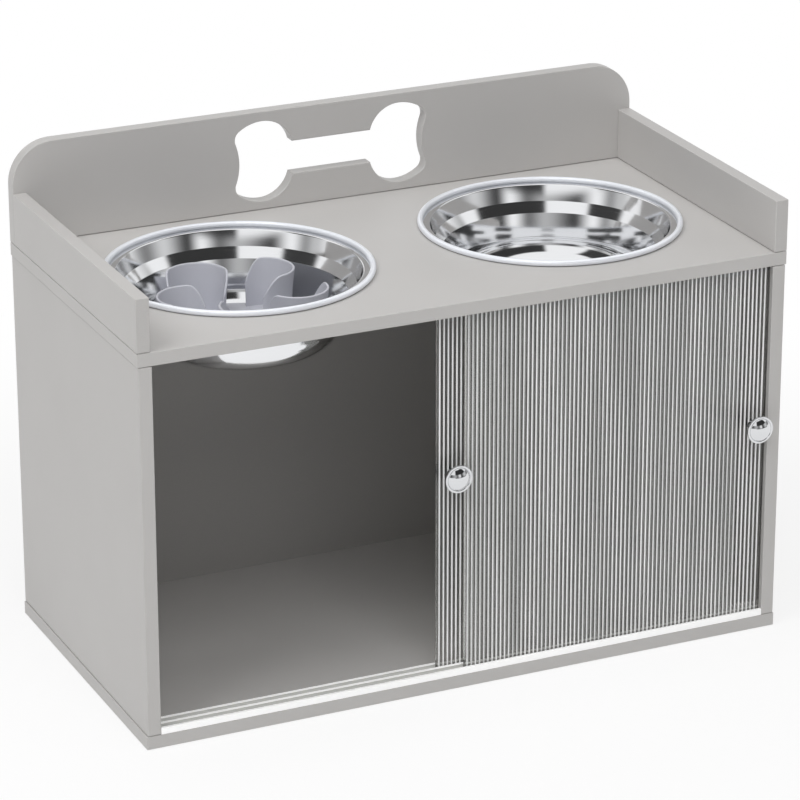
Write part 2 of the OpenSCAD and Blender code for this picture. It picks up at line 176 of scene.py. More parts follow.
def add(material, kind, inputs=None, **settings):
    """Adds a node with its settings. An input takes a value, an output, or a node's first output."""
    node = material.node_tree.nodes.new(kind)
    for name, value in settings.items():
        setattr(node, name, value)
    for name, value in (inputs or {}).items():
        socket = node.inputs[name] if isinstance(name, int) else next(
            s for s in node.inputs if s.name == name and not s.is_unavailable)
        if isinstance(value, bpy.types.Node):
            value = next(s for s in value.outputs if not s.is_unavailable)
        if isinstance(value, bpy.types.NodeSocket):
            material.node_tree.links.new(value, socket)
        else:
            socket.default_value = value
    return node


def new_material(name):
    """An empty material, and the coordinates of a surface in metres from its piece's own centre."""
    material = bpy.data.materials.new(name)
    material.use_nodes = True
    material.node_tree.nodes.clear()
    return material, add(material, "ShaderNodeTexCoord").outputs["Object"]


# Melamine film, pressed against a finely textured plate: satin, with a pearl that breaks up the
# highlights and a tone that drifts very slightly across a board.
melamine, place = new_material("melamine_film")
pearl_mm, drift_mm = 0.9, 120
pearl = add(melamine, "ShaderNodeTexNoise", {"Vector": place, "Scale": 1000 / pearl_mm, "Detail": 2.0})
drift = add(melamine, "ShaderNodeTexNoise", {"Vector": place, "Scale": 1000 / drift_mm, "Detail": 3.0})
film_tone = add(melamine, "ShaderNodeMix", {
    "Factor": drift, "A": linear("#bdbbb9"), "B": linear("#c5c3c1")}, data_type="RGBA")
film_gloss = add(melamine, "ShaderNodeMapRange", {"Value": pearl, "To Min": 0.38, "To Max": 0.5})
film_relief = add(melamine, "ShaderNodeBump", {"Height": pearl, "Strength": 0.12, "Distance": 0.02 * mm})
film = add(melamine, "ShaderNodeBsdfPrincipled", {
    "Base Color": film_tone, "Roughness": film_gloss, "Normal": film_relief, "IOR": 1.5})
add(melamine, "ShaderNodeOutputMaterial", {"Surface": film})

# ABS edge band, extruded in the film's grey and trimmed flush: a touch smoother and darker than the
# film, with the faint upright chatter of the trimming knife.
edge_band, place = new_material("abs_edge_band")
chatter_mm = 1.4
chatter = add(edge_band, "ShaderNodeTexNoise", {
    "Vector": place, "Scale": 1000 / chatter_mm, "Detail": 1.0})
band_tone = add(edge_band, "ShaderNodeMix", {
    "Factor": chatter, "A": linear("#b9b7b5"), "B": linear("#bfbdbb")}, data_type="RGBA")
band_gloss = add(edge_band, "ShaderNodeMapRange", {"Value": chatter, "To Min": 0.32, "To Max": 0.42})
band_relief = add(edge_band, "ShaderNodeBump", {
    "Height": chatter, "Strength": 0.08, "Distance": 0.03 * mm})
band = add(edge_band, "ShaderNodeBsdfPrincipled", {
    "Base Color": band_tone, "Roughness": band_gloss, "Normal": band_relief, "IOR": 1.54})
add(edge_band, "ShaderNodeOutputMaterial", {"Surface": band})

# Where two boards meet, a hairline stays open between their eased edges and shows as a fine dark seam.
hairline, face_slope = 0.4 * mm, 0.6


def board(name, node, below=False, above=False, outline=None, cutouts=()):
    """A board in the place of its CAD node, sawn across its thinnest side, its edges banded. A
    hairline stays open where it stands on another board or carries one."""
    low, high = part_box(node)
    low.z, high.z = low.z + hairline * below, high.z - hairline * above
    size = high - low
    thin = min(range(3), key=lambda axis: size[axis])
    u, v = [axis for axis in range(3) if axis != thin]
    loops = [outline or rectangle(low[u], low[v], high[u], high[v], arris)] + list(cutouts)
    mesh = sawn(name, loops, size[thin], arris)
    stand = Matrix([[1.0 if row == axis else 0.0 for axis in (u, v, thin)] for row in range(3)]).to_4x4()
    stand[thin][3] = (low[thin] + high[thin]) / 2
    mesh.transform(stand)
    piece = new_piece(name, finished(mesh), melamine, edge_band)
    for face in mesh.polygons:
        face.material_index = 0 if abs(face.normal[thin]) > face_slope else 1
    return piece


hole_r, hole_sides = 107.7 * mm, 120
groove_gap, groove_d = 0.6 * mm, 8.5 * mm
cam_r, cam_h = 6.1 * mm, 9.5 * mm
screw_r, screw_head_r = 2.1 * mm, 3.8 * mm
bowl_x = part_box("right_bowl")[0].x / 2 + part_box("right_bowl")[1].x / 2
track_low, track_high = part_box("lower_track")
top_low, top_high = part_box("top_panel")
under_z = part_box("bottom_panel")[0].z
cam_y, cam_z = 95 * mm, top_low.z - 24 * mm
side_x, side_half_t, splash_screw_y = 293 * mm, 6 * mm, 146.5 * mm
base_screw_ys_mm, splash_screw_xs_mm = (-70, 0, 70), (-240, -120, 0, 120, 240)
bowl_holes = [arc((side * bowl_x, 0), hole_r, 0, 360 - 360 / hole_sides, hole_sides - 1)
              for side in (-1, 1)]
boards = {
    "bottom_panel": board("bottom_board", "bottom_panel"),
    "left_side_panel": board("left_side_board", "left_side_panel", below=True, above=True),
    "right_side_panel": board("right_side_board", "right_side_panel", below=True, above=True),
    "top_panel": board("top_board", "top_panel", cutouts=bowl_holes),
    "left_guard": board("left_guard_board", "left_guard", below=True),
    "right_guard": board("right_guard_board", "right_guard", below=True),
}


def countersinks(spots, face_z):
    """Cutters for countersunk screw holes that open downwards at a height."""
    depth, length, mouth_r = 1.45 * mm, 3.1 * mm, screw_head_r + 0.5 * mm
    return [drill((x, y, face_z + depth), mouth_r, length, "Z", screw_r) for x, y in spots]


cut(boards["bottom_panel"], countersinks(
    [(side * side_x, y * mm) for side in (-1, 1) for y in base_screw_ys_mm], under_z))
door_grooves = [block((track_low.x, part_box(door)[0].y - groove_gap, top_low.z - groove_d),
                      (track_high.x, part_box(door)[1].y + groove_gap, top_low.z + groove_d))
                for door in ("front_door", "rear_door")]
cut(boards["top_panel"], door_grooves + countersinks(
    [(x * mm, splash_screw_y) for x in splash_screw_xs_mm], top_low.z))
for side, node in ((-1, "left_side_panel"), (1, "right_side_panel")):
    inner_x = side * (side_x - side_half_t)
    cut(boards[node], [drill((inner_x, y * cam_y, cam_z), cam_r, 2 * cam_h, "X") for y in (-1, 1)])

# ------------------------------------------------------------------ backsplash
# The rear board above the top: the same faced board, cut with a router to large rounded upper
# corners and a bone-shaped hand hole. It is screwed from under the top panel.
splash_corner_r = 38 * mm
bone_l, bone_h = 185 * mm, 74 * mm
bone_shaft_l, bone_shaft_h = 76 * mm, 30 * mm
bone_flank_r, bone_brow_r = 29 * mm, 38 * mm
bone_corner_r, bone_notch = 9.5 * mm, 4 * mm
bone_rise = 45 * mm


def bone_outline(rise):
    """The bone's outline in arcs about the middle of the board, one quarter mirrored to all four."""
    flank_z, brow_z = bone_h / 2 - bone_flank_r, bone_h / 2 - bone_brow_r
    flank_end = asin((bone_shaft_h / 2 - flank_z) / bone_flank_r)
    crown_x = bone_shaft_l / 2 + bone_flank_r * cos(flank_end)
    corner_x, brow_in = bone_l / 2 - bone_corner_r, bone_brow_r - bone_corner_r
    brow_end = acos((corner_x - crown_x) / brow_in)
    corner_z = brow_z + brow_in * sin(brow_end)
    base = bone_corner_r - bone_notch
    notch_r = (base ** 2 + corner_z ** 2 - bone_corner_r ** 2) / (2 * bone_notch)
    notch_x = corner_x + base + notch_r
    meet = degrees(atan2(corner_z, notch_x - corner_x))
    quarter = (arc((notch_x, 0), notch_r, 180, 180 - meet, 12)[1:]
               + arc((corner_x, corner_z), bone_corner_r, -meet, degrees(brow_end), 20)[1:]
               + arc((crown_x, brow_z), bone_brow_r, degrees(brow_end), 90, 16)[1:]
               + arc((crown_x, flank_z), bone_flank_r, 90, 180 - degrees(flank_end), 24)[1:])
    upper = quarter + [(-x, z) for x, z in reversed(quarter)]
    tip = bone_l / 2 - bone_notch
    lower = [(x, -z) for x, z in reversed(upper)]
    return [(x, rise + z) for x, z in [(tip, 0)] + upper + [(-tip, 0)] + lower]


splash_low, splash_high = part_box("backsplash")
splash_foot_z = splash_low.z + hairline
boards["backsplash"] = board(
    "backsplash_board", "backsplash",
    outline=rectangle(splash_low.x, splash_foot_z, splash_high.x, splash_high.z, arris, splash_corner_r),
    cutouts=[bone_outline(splash_low.z + bone_rise)])

for node, piece in boards.items():
    keep_faces_flat(piece)
    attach(piece, "carcass")
    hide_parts(node)

# ------------------------------------------------------------------ hardboard back
# A 3 mm sheet of fibreboard that slides down grooves in the boards round it. Its face is a grey
# darker and duller than the film, and its fibres show faintly through.
hardboard, place = new_material("printed_hardboard")
fibre_mm = 1.6
fibre = add(hardboard, "ShaderNodeTexNoise", {"Vector": place, "Scale": 1000 / fibre_mm, "Detail": 5.0})
print_tone = add(hardboard, "ShaderNodeMix", {
    "Factor": fibre, "A": linear("#a4a2a0"), "B": linear("#aeacaa")}, data_type="RGBA")
fibre_relief = add(hardboard, "ShaderNodeBump", {
    "Height": fibre, "Strength": 0.25, "Distance": 0.04 * mm})
printed = add(hardboard, "ShaderNodeBsdfPrincipled", {
    "Base Color": print_tone, "Roughness": 0.62, "Normal": fibre_relief, "IOR": 1.45})
add(hardboard, "ShaderNodeOutputMaterial", {"Surface": printed})
back_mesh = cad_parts["back_panel"].data
back_mesh.materials.clear()
back_mesh.materials.append(hardboard)

# ------------------------------------------------------------------ lower track
# White PVC extrusion with two channels, cut to length and glued down flush with the front of the
# bottom panel. The extruder leaves a soft gloss and faint lines along its length. A faint white
# emission makes the plastic glow a little brighter than the lamps light it: painted light.
track_arris, track_lip, track_floor = 0.35 * mm, 3 * mm, 1.4 * mm
channel_w = (track_high.y - track_low.y - 3 * track_lip) / 2


def track_section():
    """Section of the track from front to back, as (y, z) points."""
    section = [(track_low.y, track_low.z)]
    for lip in range(3):
        start = track_low.y + lip * (track_lip + channel_w)
        section += [(start, track_high.z), (start + track_lip, track_high.z)]
        if lip < 2:
            section += [(start + track_lip, track_low.z + track_floor),
                        (start + track_lip + channel_w, track_low.z + track_floor)]
    return section + [(track_high.y, track_low.z)]


def extruded(name, outline, length, stand, edge=0.0):
    """A length of a section, swept along its own third axis and stood in place, its long edges eased."""
    work = bmesh.new()
    face = work.faces.new([work.verts.new((a, b, 0)) for a, b in outline])
    moved = bmesh.ops.extrude_face_region(work, geom=[face])["geom"]
    far_corners = [item for item in moved if isinstance(item, bmesh.types.BMVert)]
    bmesh.ops.translate(work, vec=(0, 0, length), verts=far_corners)
    bmesh.ops.recalc_face_normals(work, faces=work.faces)
    if edge:
        along = [e for e in work.edges if abs(e.verts[0].co.z - e.verts[1].co.z) > length / 2]
        bmesh.ops.bevel(work, geom=along, offset=edge, segments=3, affect="EDGES", profile=0.5)
    bmesh.ops.transform(work, matrix=stand, verts=work.verts)
    mesh = bpy.data.meshes.new(name)
    work.to_mesh(mesh)
    work.free()
    return mesh


white_pvc, place = new_material("extruded_white_pvc")
line_mm, line_l_mm = 1.1, 250
along = add(white_pvc, "ShaderNodeMapping", {
    "Vector": place, "Scale": (1000 / line_l_mm, 1000 / line_mm, 1000 / line_mm)})
drawn = add(white_pvc, "ShaderNodeTexNoise", {"Vector": along, "Scale": 1.0, "Detail": 2.0})
drawn_relief = add(white_pvc, "ShaderNodeBump", {
    "Height": drawn, "Strength": 0.05, "Distance": 0.01 * mm})
pvc_tone = add(white_pvc, "ShaderNodeMix", {
    "Factor": drawn, "A": linear("#fafaf9"), "B": linear("#fefefe")}, data_type="RGBA")
# The emission is painted light: the PVC glows a little, beyond the light that falls on it.
pvc = add(white_pvc, "ShaderNodeBsdfPrincipled", {
    "Base Color": pvc_tone, "Roughness": 0.28, "Normal": drawn_relief, "IOR": 1.53,
    "Emission Color": (1, 1, 1, 1), "Emission Strength": 0.16})
add(white_pvc, "ShaderNodeOutputMaterial", {"Surface": pvc})

# The same PVC behind the front and under the lips' tops, mostly inside the channels: greyer as
# painted shade for the shade deep in the channels, and rubbed dull where the doors have run.
shaded_channel_pvc, place = new_material("pvc_channel_painted_shade")
streak_mm, streak_l_mm = 1.4, 83
along = add(shaded_channel_pvc, "ShaderNodeMapping", {
    "Vector": place, "Scale": (1000 / streak_l_mm, 1000 / streak_mm, 1000 / streak_mm)})
streaks = add(shaded_channel_pvc, "ShaderNodeTexNoise", {"Vector": along, "Scale": 1.0, "Detail": 3.0})
channel_shade_tone = add(shaded_channel_pvc, "ShaderNodeMix", {
    "Factor": streaks, "A": linear("#dcdcd9"), "B": linear("#e8e8e5")}, data_type="RGBA")
channel_shader = add(shaded_channel_pvc, "ShaderNodeBsdfPrincipled", {
    "Base Color": channel_shade_tone, "Roughness": 0.5, "IOR": 1.53})
add(shaded_channel_pvc, "ShaderNodeOutputMaterial", {"Surface": channel_shader})

lay_along_x = Matrix(((0, 0, 1, track_low.x), (1, 0, 0, 0), (0, 1, 0, 0), (0, 0, 0, 1)))
track_mesh = extruded("lower_track_extrusion", track_section(), track_high.x - track_low.x,
                      lay_along_x, track_arris)
track = new_piece("lower_track_extrusion", finished(track_mesh), white_pvc, shaded_channel_pvc)
# Faces behind the front and below the lips' tops take the channel's painted shade.
for face in track_mesh.polygons:
    behind_front = face.center.y > track_low.y + track_lip / 2
    below_lips = face.center.z < track_high.z - track_arris
    face.material_index = 1 if behind_front and below_lips else 0
keep_faces_flat(track)
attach(track, "carcass")
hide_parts("lower_track")

# ------------------------------------------------------------------ sliding doors
# Clear acrylic sheet, rolled flat behind and fluted in front, so that it draws what stands behind
# it into upright stripes. Sawn to size, with polished ends, and drilled for its knob. The left flank
# of each flute is shaded opaque white: a painted highlight for the pale lines its reflections make.
flute_pitch, flute_h, flute_steps = 4 * mm, 1 * mm, 10
highlight_slope, front_slope = 0.42, 0.1
knob_hole_r, drill_l = 2.2 * mm, 30 * mm


def fluted_outline(low, high):
    """Plan of a door standing between two corners, its flutes on the front."""
    flutes = int((high.x - low.x) / flute_pitch)
    margin = (high.x - low.x - flutes * flute_pitch) / 2
    radius = ((flute_pitch / 2) ** 2 + flute_h ** 2) / (2 * flute_h)
    half = degrees(asin(flute_pitch / 2 / radius))
    plan = [(low.x, low.y + flute_h)]
    for i in range(flutes):
        plan += arc((low.x + margin + (i + 0.5) * flute_pitch, low.y + radius),
                    radius, -90 - half, -90 + half, flute_steps)[:-1]
    return plan + [(high.x - margin, low.y + flute_h), (high.x, low.y + flute_h),
                   (high.x, high.y), (low.x, high.y)]


# The rolled acrylic has a breath of smoke in it: as clear as glass, and hardly hazed by handling.
acrylic, place = new_material("clear_acrylic")
haze_mm = 60
haze = add(acrylic, "ShaderNodeTexNoise", {"Vector": place, "Scale": 1000 / haze_mm, "Detail": 3.0})
haze_gloss = add(acrylic, "ShaderNodeMapRange", {"Value": haze, "To Min": 0.0, "To Max": 0.03})
sheet = add(acrylic, "ShaderNodeBsdfPrincipled", {
    "Base Color": linear("#cfcfcd"), "Roughness": haze_gloss, "IOR": 1.49, "Transmission Weight": 1.0})
let_through = add(acrylic, "ShaderNodeBsdfTransparent", {"Color": linear("#dededc")})
light_path = add(acrylic, "ShaderNodeLightPath")
lit = add(acrylic, "ShaderNodeMixShader", {
    "Fac": light_path.outputs["Is Shadow Ray"], 1: sheet, 2: let_through})
add(acrylic, "ShaderNodeOutputMaterial", {"Surface": lit})

# Painted highlight on the left flank of each flute: an opaque white, in patches a little greyer,
# that stands in for the bright reflections these steep flanks show as pale lines.
highlight_flank, place = new_material("acrylic_flank_painted_highlight")
patch_mm, patch_l_mm = 17, 333
tall = add(highlight_flank, "ShaderNodeMapping", {
    "Vector": place, "Scale": (1000 / patch_mm, 1000 / patch_mm, 1000 / patch_l_mm)})
flank_patches = add(highlight_flank, "ShaderNodeTexNoise", {"Vector": tall, "Scale": 1.0, "Detail": 2.0})
patch_share = add(highlight_flank, "ShaderNodeMapRange", {"Value": flank_patches, "From Min": 0.35, "From Max": 0.6})
painted_highlight_tone = add(highlight_flank, "ShaderNodeMix", {
    "Factor": patch_share, "A": linear("#d8d9d9"), "B": linear("#ffffff")}, data_type="RGBA")
flank_shader = add(highlight_flank, "ShaderNodeBsdfPrincipled", {
    "Base Color": painted_highlight_tone, "Roughness": 0.45, "IOR": 1.49})
add(highlight_flank, "ShaderNodeOutputMaterial", {"Surface": flank_shader})

for side in ("rear", "front"):
    low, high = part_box(side + "_door")
    knob_low, knob_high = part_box(side + "_door_knob")
    stand_up = Matrix.Translation((0, 0, low.z))
    door_mesh = extruded(side + "_door_sheet", fluted_outline(low, high), high.z - low.z, stand_up)
    door = new_piece(side + "_door_sheet", finished(door_mesh, 30), acrylic, highlight_flank)
    knob_x, knob_z = (knob_low.x + knob_high.x) / 2, (knob_low.z + knob_high.z) / 2
    cut(door, [drill((knob_x, low.y, knob_z), knob_hole_r, drill_l, "Y")])
    # Front faces turned to the left take the flutes' painted highlight.
    for face in door.data.polygons:
        in_front = face.normal.y < -front_slope
        face.material_index = 1 if in_front and face.normal.x < -highlight_slope else 0
    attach(door, side + "_door")
    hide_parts(side + "_door")

# ------------------------------------------------------------------ door knobs
# Small mushroom knobs turned from brass and chromium plated: a foot, a flared neck, and a rimmed
# head with a dome. A screw through the door from behind holds each one.
knob_r, knob_foot_r, knob_neck_r = 12.5 * mm, 5 * mm, 4 * mm
knob_neck_l, knob_rim_t, knob_foot_h = 13 * mm, 1.8 * mm, 1 * mm
dome_r, dome_h, dome_groove_w, dome_groove_d = 10.3 * mm, 4.6 * mm, 0.5 * mm, 0.35 * mm
knob_flare, knob_sides = 0.4, 64


def lathed(name, section, steps, closed=False):
    """Turns a section of (radius, height) points about the Z axis."""
    work = bmesh.new()
    spokes = [2 * pi * i / steps for i in range(steps)]
    rings = [[work.verts.new((r * cos(spoke), r * sin(spoke), z)) for spoke in spokes]
             if r > 1e-7 else [work.verts.new((0, 0, z))] for r, z in section]
    pairs = list(zip(rings, rings[1:])) + ([(rings[-1], rings[0])] if closed else [])
    for lower, upper in pairs:
        for i in range(steps):
            j = (i + 1) % steps
            corners = list(dict.fromkeys([lower[i % len(lower)], lower[j % len(lower)],
                                          upper[j % len(upper)], upper[i % len(upper)]]))
            if len(corners) > 2:
                work.faces.new(corners)
    mesh = bpy.data.meshes.new(name)
    work.to_mesh(mesh)
    work.free()
    return finished(mesh)


def knob_section():
    """Section of a knob, its heights from the door's face."""
    flare, rim_z, bead = (knob_r - knob_neck_r) * knob_flare, knob_neck_l + knob_rim_t, 0.5 * mm
    ball_r = (dome_r ** 2 + dome_h ** 2) / (2 * dome_h)
    dome_start = degrees(asin((ball_r - dome_h) / ball_r))
    return ([(0, 0), (knob_foot_r - bead, 0)] + arc((knob_foot_r - bead, bead), bead, -90, 0, 4)
            + [(knob_foot_r, knob_foot_h)]
            + arc((knob_neck_r + flare, knob_neck_l - flare - bead), flare, 180, 90, 8)
            + arc((knob_r - bead, knob_neck_l + bead), bead, -90, 0, 4)
            + arc((knob_r - bead, rim_z - bead), bead, 0, 90, 4)
            + [(dome_r + dome_groove_w, rim_z - 0.02 * mm), (dome_r + 0.1 * mm, rim_z - dome_groove_d)]
            + arc((0, rim_z + dome_h - ball_r), ball_r, dome_start, 90, 16)[:-1]
            + [(0, rim_z + dome_h)])


# Chromium plate on a buffed turning: a near mirror, with the faintest breath of handling on it.
chrome, place = new_material("polished_chrome_plate")
breath_mm = 14
breath = add(chrome, "ShaderNodeTexNoise", {"Vector": place, "Scale": 1000 / breath_mm, "Detail": 4.0})
chrome_gloss = add(chrome, "ShaderNodeMapRange", {"Value": breath, "To Min": 0.03, "To Max": 0.09})
plate = add(chrome, "ShaderNodeBsdfPrincipled", {
    "Base Color": linear("#dcdddf"), "Metallic": 1.0, "Roughness": chrome_gloss})
add(chrome, "ShaderNodeOutputMaterial", {"Surface": plate})

for side in ("rear", "front"):
    low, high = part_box(side + "_door_knob")
    knob_mesh = lathed(side + "_knob_turned", knob_section(), knob_sides)
    knob = new_piece(side + "_knob_turned", knob_mesh, chrome)
    knob.matrix_world = (Matrix.Translation(((low.x + high.x) / 2, high.y, (low.z + high.z) / 2))
                         @ Matrix.Rotation(pi / 2, 4, "X"))
    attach(knob, side + "_door")
    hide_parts(side + "_door_knob")

# ------------------------------------------------------------------ bowls
# Stainless sheet, deep drawn in steps and spun: a rolled rim, a flat flange that lies on the top
# panel, a steep band, a shoulder and a rounded basin. Polished, with faint rings from the lathe.
rim_r, roll_r, seat_gap = 117 * mm, 2.6 * mm, 0.3 * mm
sheet_t, wall_r, throat_r = 1 * mm, 106.8 * mm, 0.8 * mm
band_h, band_taper, band_bend = 13.5 * mm, 5.2 * mm, 0.3 * mm
shoulder_h, shoulder_w, shoulder_bend = 9 * mm, 6.5 * mm, 0.8 * mm
floor_r, corner_r, bowl_depth, bowl_sides = 66 * mm, 22 * mm, 64 * mm, 192


def bend(before, corner, after, radius):
    """Rounds a corner of a path with an arc that runs into the straight stretches beside it."""
    corner = Vector(corner)
    back, on = (Vector(before) - corner).normalized(), (Vector(after) - corner).normalized()
    half = back.angle(on) / 2
    centre = corner + (back + on).normalized() * radius / sin(half)
    spokes = [corner + way * radius / tan(half) - centre for way in (back, on)]
    start, end = [degrees(atan2(spoke.y, spoke.x)) for spoke in spokes]
    return arc(centre, radius, start, start + (end - start + 180) % 360 - 180, 6)


def bowl_section():
    """Closed half section of the sheet, its heights from the top panel's surface."""
    edge, throat = (rim_r - 2 * roll_r + roll_r / 3, 0), (wall_r, 0)
    foot = (wall_r - band_taper, -band_h)
    shoulder = (foot[0] - shoulder_w, foot[1] - shoulder_h)
    corner = (floor_r, corner_r - bowl_depth)
    basin = (floor_r + corner_r, corner[1])
    under = ([edge] + bend(edge, throat, foot, throat_r) + bend(throat, foot, shoulder, band_bend)
             + bend(foot, shoulder, basin, shoulder_bend) + arc(corner, corner_r, 0, -90, 20)
             + [(0, -bowl_depth)])
    over = []
    for i, (r, z) in enumerate(under):
        (r0, z0), (r1, z1) = under[max(i - 1, 0)], under[min(i + 1, len(under) - 1)]
        way = Vector((r1 - r0, z1 - z0)).normalized()
        over.append((r + way.y * sheet_t, z - way.x * sheet_t))
    roll = (rim_r - roll_r, roll_r + seat_gap)
    roll_start = 180 + degrees(asin((roll[1] - sheet_t) / roll_r))
    return under + over[:0:-1] + arc(roll, roll_r, roll_start, -90, 24)


# Stainless steel, buffed on the lathe: a soft mirror with rings finer than the eye can count, whose
# polish fades a little from ring to ring.
stainless, place = new_material("polished_stainless_sheet")
ring_mm = 1.1
across = add(stainless, "ShaderNodeVectorMath", {0: place, 1: (1000, 1000, 0)}, operation="MULTIPLY")
from_axis = add(stainless, "ShaderNodeVectorMath", {0: across}, operation="LENGTH").outputs["Value"]
rings = add(stainless, "ShaderNodeTexNoise", {"W": from_axis, "Scale": 1 / ring_mm, "Detail": 2.0},
            noise_dimensions="1D")
steel_gloss = add(stainless, "ShaderNodeMapRange", {"Value": rings, "To Min": 0.07, "To Max": 0.13})
ring_relief = add(stainless, "ShaderNodeBump", {"Height": rings, "Strength": 0.05, "Distance": 0.01 * mm})
steel = add(stainless, "ShaderNodeBsdfPrincipled", {
    "Base Color": linear("#ebecee"), "Metallic": 1.0, "Roughness": steel_gloss, "Normal": ring_relief})
add(stainless, "ShaderNodeOutputMaterial", {"Surface": steel})

# The rolled rim gets a mostly diffuse, near-white and slightly blue shader, so it shines evenly all
# round: a painted reflection, standing in for the bright sky that the polished rim mirrors.
rolled_rim, place = new_material("rolled_rim_painted_reflection")
scuff_mm = 1.5
scuffs = add(rolled_rim, "ShaderNodeTexNoise", {"Vector": place, "Scale": 1000 / scuff_mm, "Detail": 2.0})
rim_gloss = add(rolled_rim, "ShaderNodeMapRange", {"Value": scuffs, "To Min": 0.26, "To Max": 0.36})
rim_reflection_shader = add(rolled_rim, "ShaderNodeBsdfPrincipled", {
    "Base Color": linear("#f6f9ff"), "Metallic": 0.3, "Roughness": rim_gloss})
add(rolled_rim, "ShaderNodeOutputMaterial", {"Surface": rim_reflection_shader})

for side, sign in (("left", -1), ("right", 1)):
    bowl_mesh = lathed(side + "_bowl_spun", bowl_section(), bowl_sides, closed=True)
    bowl = new_piece(side + "_bowl_spun", bowl_mesh, stainless, rolled_rim)
    # The faces of the roll take the rim's painted reflection.
    for face in bowl_mesh.polygons:
        face.material_index = 1 if face.center.xy.length > rim_r - 2 * roll_r else 0
    bowl.location = (sign * bowl_x, 0, top_high.z)
    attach(bowl, side + "_bowl")
    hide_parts(side + "_bowl")

# ------------------------------------------------------------------ slow feeder insert
# Grey polypropylene moulding that slows a greedy eater: a round floor with five thin walls that curl
# like petals round the middle, flare outwards and fall away at their ends.
petal_count, petal_r, petal_out = 5, 25 * mm, 49.5 * mm
petal_t, petal_h, petal_flare = 2.2 * mm, 44 * mm, 3 * mm
petal_from, petal_sweep, first_petal = -157, 222, 43
end_drop, end_turn, end_taper, end_t_share = 0.45, 38, 0.25, 0.3
insert_floor_r, insert_floor_t, stem_hole_r, insert_sides = 74 * mm, 3 * mm, 3.1 * mm, 128


def wall_section(full):
    """Section of a wall as (distance out, height): up its outer face, over its rounded top and down
    its inner face. Full is 1 along the middle of the wall and falls to 0 at its ends."""
    rows, crest_steps = 8, 8
    tip = petal_t / 2
    half = tip * (full ** end_taper if full > 0 else end_t_share)
    top = petal_h * (1 - end_drop * (1 - full)) - tip
    heights = [top * row / rows for row in range(rows + 1)]
    middles = [petal_r - petal_flare / 2 + petal_flare * (height / petal_h) ** 2 for height in heights]
    outer = [(middle + half, height) for middle, height in zip(middles, heights)]
    crest = [(middles[-1] + half * cos(pi * k / crest_steps), top + half * sin(pi * k / crest_steps))
             for k in range(1, crest_steps)]
    inner = [(middle - half, height) for middle, height in zip(middles, heights)]
    return outer + crest + inner[::-1]


def petal_wall():
    """One curved wall about its own centre, standing on the floor, lower and thinner at both ends."""
    work, steps = bmesh.new(), 60
    sections = []
    for i in range(steps + 1):
        turned = petal_sweep * i / steps
        from_end = min(turned, petal_sweep - turned) / end_turn
        around = radians(petal_from + turned)
        sections.append([work.verts.new((out * cos(around), out * sin(around), height))
                         for out, height in wall_section(sin(min(from_end, 1) * pi / 2))])
    for one, two in zip(sections, sections[1:]):
        for j in range(len(one)):
            k = (j + 1) % len(one)
            work.faces.new((one[j], two[j], two[k], one[k]))
    work.faces.new(sections[0])
    work.faces.new(sections[-1][::-1])
    mesh = bpy.data.meshes.new("petal")
    work.to_mesh(mesh)
    work.free()
    return finished(mesh, 50)


# Polypropylene, injection moulded against a lightly sparked tool: satin, very slightly milky.
grey_pp, place = new_material("moulded_grey_polypropylene")
spark_mm = 0.5
spark = add(grey_pp, "ShaderNodeTexNoise", {"Vector": place, "Scale": 1000 / spark_mm, "Detail": 2.0})
spark_relief = add(grey_pp, "ShaderNodeBump", {"Height": spark, "Strength": 0.15, "Distance": 0.02 * mm})
pp_tone = add(grey_pp, "ShaderNodeMix", {
    "Factor": spark, "A": linear("#bbbcc4"), "B": linear("#c3c4cb")}, data_type="RGBA")
pp = add(grey_pp, "ShaderNodeBsdfPrincipled", {
    "Base Color": pp_tone, "Roughness": 0.36, "Normal": spark_relief, "IOR": 1.49,
    "Subsurface Weight": 0.15, "Subsurface Radius": (1.0, 1.0, 1.0), "Subsurface Scale": 1.5 * mm})
add(grey_pp, "ShaderNodeOutputMaterial", {"Surface": pp})

floor_edge_r = insert_floor_t / 2
floor_edge = arc((insert_floor_r - floor_edge_r, floor_edge_r), floor_edge_r, -90, 90, 8)
floor_section = [(stem_hole_r, 0)] + floor_edge + [(stem_hole_r, insert_floor_t)]
moulding = bmesh.new()
moulding.from_mesh(lathed("insert_floor", floor_section, insert_sides, closed=True))
for i in range(petal_count):
    wall = petal_wall()
    wall.transform(Matrix.Rotation(radians(first_petal + i * 360 / petal_count), 4, "Z")
                   @ Matrix.Translation((petal_out, 0, floor_edge_r)))
    moulding.from_mesh(wall)
insert_mesh = bpy.data.meshes.new("slow_feeder_moulding")
moulding.to_mesh(insert_mesh)
moulding.free()
insert = new_piece("slow_feeder_moulding", finished(insert_mesh, 50), grey_pp)
insert.location = (-bowl_x, 0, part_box("slow_feeder_insert")[0].z)
keep_faces_flat(insert)
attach(insert, "insert")
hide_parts("slow_feeder_insert")

# ------------------------------------------------------------------ fittings
# Die-cast zinc cam locks, zinc-plated bolts and screws, beech dowels, and the clear silicone cup
# under the insert. The CAD pieces stay, because their shape is right and little of them shows.
die_cast, place = new_material("die_cast_zinc")
grain_mm = 0.7
grain = add(die_cast, "ShaderNodeTexNoise", {"Vector": place, "Scale": 1000 / grain_mm, "Detail": 3.0})
cast_gloss = add(die_cast, "ShaderNodeMapRange", {"Value": grain, "To Min": 0.34, "To Max": 0.5})
cast_relief = add(die_cast, "ShaderNodeBump", {"Height": grain, "Strength": 0.2, "Distance": 0.03 * mm})
zinc = add(die_cast, "ShaderNodeBsdfPrincipled", {
    "Base Color": linear("#a9abad"), "Metallic": 1.0, "Roughness": cast_gloss, "Normal": cast_relief})
add(die_cast, "ShaderNodeOutputMaterial", {"Surface": zinc})

